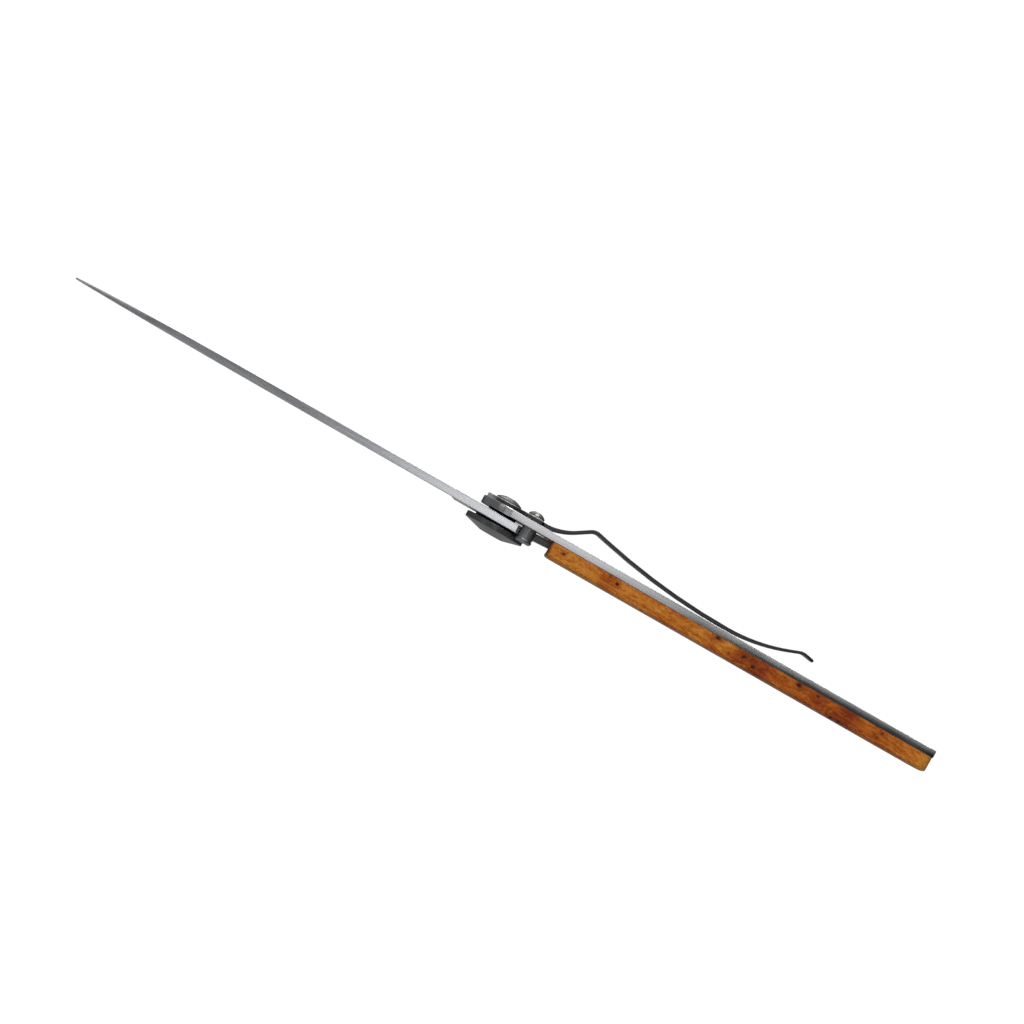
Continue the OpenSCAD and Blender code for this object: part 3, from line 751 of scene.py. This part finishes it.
def clipStrip(look):
    baseLow, baseHigh = sizes("clip_base")
    armLow, armHigh = sizes("clip_arm")
    pinLow, pinHigh = sizes("stop_pin")
    rootX, thick = armLow.x - look["gap"], baseHigh.z - baseLow.z
    middleY, middleZ = (armLow.y + armHigh.y) / 2, baseLow.z + thick / 2
    nose, pinX = -baseLow.x, (pinLow.x + pinHigh.x) / 2
    wide = look["rootWide"] / 2
    front = -nose - look["noseOver"]
    base = rounded([
        (-nose, front, nose - 0.6), (1.3, front, 2.6), (pinX - 2.5, baseLow.y, 1.9),
        (rootX - 0.2, baseLow.y, 0.6), (rootX, middleY - wide, 0), (rootX, middleY + wide, 0),
        (nose + 0.2, middleY + wide, 1), (nose, nose, nose - 0.2), (-nose, nose, nose - 0.2)], 6)
    endX, tip = armHigh.x, look["tipWide"] / 2
    arm = rounded([
        (rootX - 1, middleY - wide, 0), (endX, middleY - tip, tip - 0.1),
        (endX, middleY + tip, tip - 0.1), (rootX - 1, middleY + wide, 0)], 6)
    line = [(-nose + 0.004 + (nose + rootX) * (1 - math.cos(math.pi / 2 * i / 44)), middleZ, 0.0)
            for i in range(44)]
    path = clipPath(look, rootX, middleZ)
    reach, endRun = endX - 0.012, look["endRun"]
    line += [p for p in path if p[0] < reach - endRun]
    for i in range(17):  # closer stations where the free end rounds off
        x = reach - endRun + endRun * math.sin(math.pi / 2 * i / 16)
        near = min(range(1, len(path)), key=lambda k: abs(path[k][0] - x) + (path[k - 1][0] > x))
        (xa, za, ha), (xb, zb, hb) = path[near - 1], path[near]
        t = (x - xa) / (xb - xa)
        line.append((x, za + (zb - za) * t, ha + (hb - ha) * t))
    verts, faces = [], []
    for x, z, heading in line:
        y0, y1 = spanAt(base if x < rootX else arm, x)
        thinned = min(1, max(0, (x - rootX) / look["thinRun"]))
        half = thick / 2 * (1 - (1 - look["thin"] / thick) * thinned)
        half *= 1 - look["tailThin"] * min(1, max(0, 1 - (reach - x) / look["tailRun"]))
        half *= math.sqrt(1 - 0.8 * max(0, 1 - (reach - x) / look["endRound"]) ** 2)
        ease = min(look["ease"], (y1 - y0) * 0.3, 0.6 * half)
        section = rounded([(y0, -half, ease), (y1, -half, ease), (y1, half, ease), (y0, half, ease)],
                          30)
        verts += [(x - s.y * math.sin(heading), s.x, z + s.y * math.cos(heading)) for s in section]
    count = len(section)
    for i in range(len(line) - 1):
        for k in range(count):
            a, b = i * count + k, i * count + (k + 1) % count
            faces.append((a, b, b + count, a + count))
    faces += [tuple(range(count)), tuple(range(len(verts) - count, len(verts)))]
    piece = makeObject("pocketClip", verts, faces)
    fit(piece, None, "clip_steel", ["clip_base", "clip_arm"], clipSteel, sharp=35)
    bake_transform(piece)
    return piece


clipStrip(clipLook)
print("clip built")


# Stage, light and camera

stageLook = {
    "floorSize": 4000, "floorHeight": -60, "paleGlow": 1.05,
    "aim": (1.53, 0, 6.45), "distance": 804.8, "lens": 135, "elevation": -2.0, "roll": 29.72,
    "lights": [  # name, place, aim, width, height, power
        ("frontBox", (21, -860, 35), (21, 0, 6), 129, 140, 0.12),
        ("frontLeft", (-285, -860, 35), (0, 0, 6), 340, 200, 0.055),
        ("frontHigh", (40, -420, 620), (20, 0, 5), 900, 420, 3.9),
        ("overhead", (-40, 20, 620), (0, 0, 0), 420, 160, 1.8),
        ("highBehind", (-150, 450, 460), (0, 0, 0), 420, 200, 0.5),
        ("leftFront", (-520, -560, 150), (0, 0, 5), 260, 200, 0.1),
    ],
}


def floor(look):
    half, low = look["floorSize"] / 2, look["floorHeight"]
    piece = makeObject("studioFloor", [(-half, -half, low), (half, -half, low), (half, half, low),
                                       (-half, half, low)], [(0, 1, 2, 3)])
    sheet = Finish("floorSheet", Roughness=0.9)
    grain = sheet.noise(sheet.place((0.01, 0.01, 0.01)), 1.0, 3)
    sheet.give("Base Color", sheet.mix(grain, tone(168, 168, 167), tone(176, 176, 175)))
    glow = sheet.add("ShaderNodeEmission", None, {0: (1, 1, 1, 1), 1: look["paleGlow"]})
    clear = sheet.add("ShaderNodeBsdfTransparent")
    seen = sheet.add("ShaderNodeLightPath", out="Is Camera Ray")
    under = sheet.add("ShaderNodeNewGeometry", out="Backfacing")  # the floor is clear from below
    lit = Flow(sheet, sheet.shader.outputs[0])
    top = sheet.add("ShaderNodeMixShader", None, {0: seen, 1: lit, 2: glow})
    both = sheet.add("ShaderNodeMixShader", None, {0: under, 1: top, 2: clear})
    sheet.tree.links.new(both.socket, sheet.tree.nodes["Material Output"].inputs["Surface"])
    piece.data.materials.append(sheet.material)


def studioWorld(look):
    world = bpy.data.worlds.new("studio")
    world.use_nodes = True
    bpy.context.scene.world = world
    tree = world.node_tree
    tree.nodes.clear()
    room = Bench(tree)
    seen = room.add("ShaderNodeLightPath", out="Is Camera Ray")
    rightward, _, upward = room.apart(room.add("ShaderNodeTexCoord", out="Generated"))
    glow = 0.05 + 0.25 * upward.between(0.1, 0.9) + 0.15 * rightward.between(-0.3, -0.95)
    light = room.add("ShaderNodeBackground", None, {0: (0.97, 0.98, 1.0, 1), 1: glow})
    white = room.add("ShaderNodeBackground", None, {0: (1, 1, 1, 1), 1: look["paleGlow"]})
    both = room.add("ShaderNodeMixShader", None, {0: seen, 1: light, 2: white})
    out = tree.nodes.new("ShaderNodeOutputWorld")
    tree.links.new(both.socket, out.inputs["Surface"])


def lamp(name, place, aim, width, height, power):
    data = bpy.data.lights.new(name, "AREA")
    data.shape, data.size, data.size_y, data.energy = "RECTANGLE", width * mm, height * mm, power
    light = bpy.data.objects.new(name, data)
    light.location = Vector(place) * mm
    light.rotation_euler = (Vector(aim) - Vector(place)).to_track_quat("-Z", "Y").to_euler()
    bpy.context.scene.collection.objects.link(light)


def camera(look):
    data = bpy.data.cameras.new("camera")
    data.lens, data.sensor_width, data.clip_start, data.clip_end = look["lens"], 36, 0.01, 20
    eye = bpy.data.objects.new("camera", data)
    lift, roll = math.radians(look["elevation"]), math.radians(look["roll"])
    back = Vector((0, -math.cos(lift), math.sin(lift)))
    across = Vector((1, 0, 0))
    up = back.cross(across)
    right = across * math.cos(roll) + up * math.sin(roll)
    turned = Matrix((right, back.cross(right), back)).transposed().to_4x4()
    place = (Vector(look["aim"]) + back * look["distance"]) * mm
    eye.matrix_world = Matrix.Translation(place) @ turned
    bpy.context.scene.collection.objects.link(eye)
    bpy.context.scene.camera = eye


bpy.context.scene.view_settings.view_transform = "Standard"
floor(stageLook)
studioWorld(stageLook)
for item in stageLook["lights"]:
    lamp(*item)
camera(stageLook)
print("stage set")
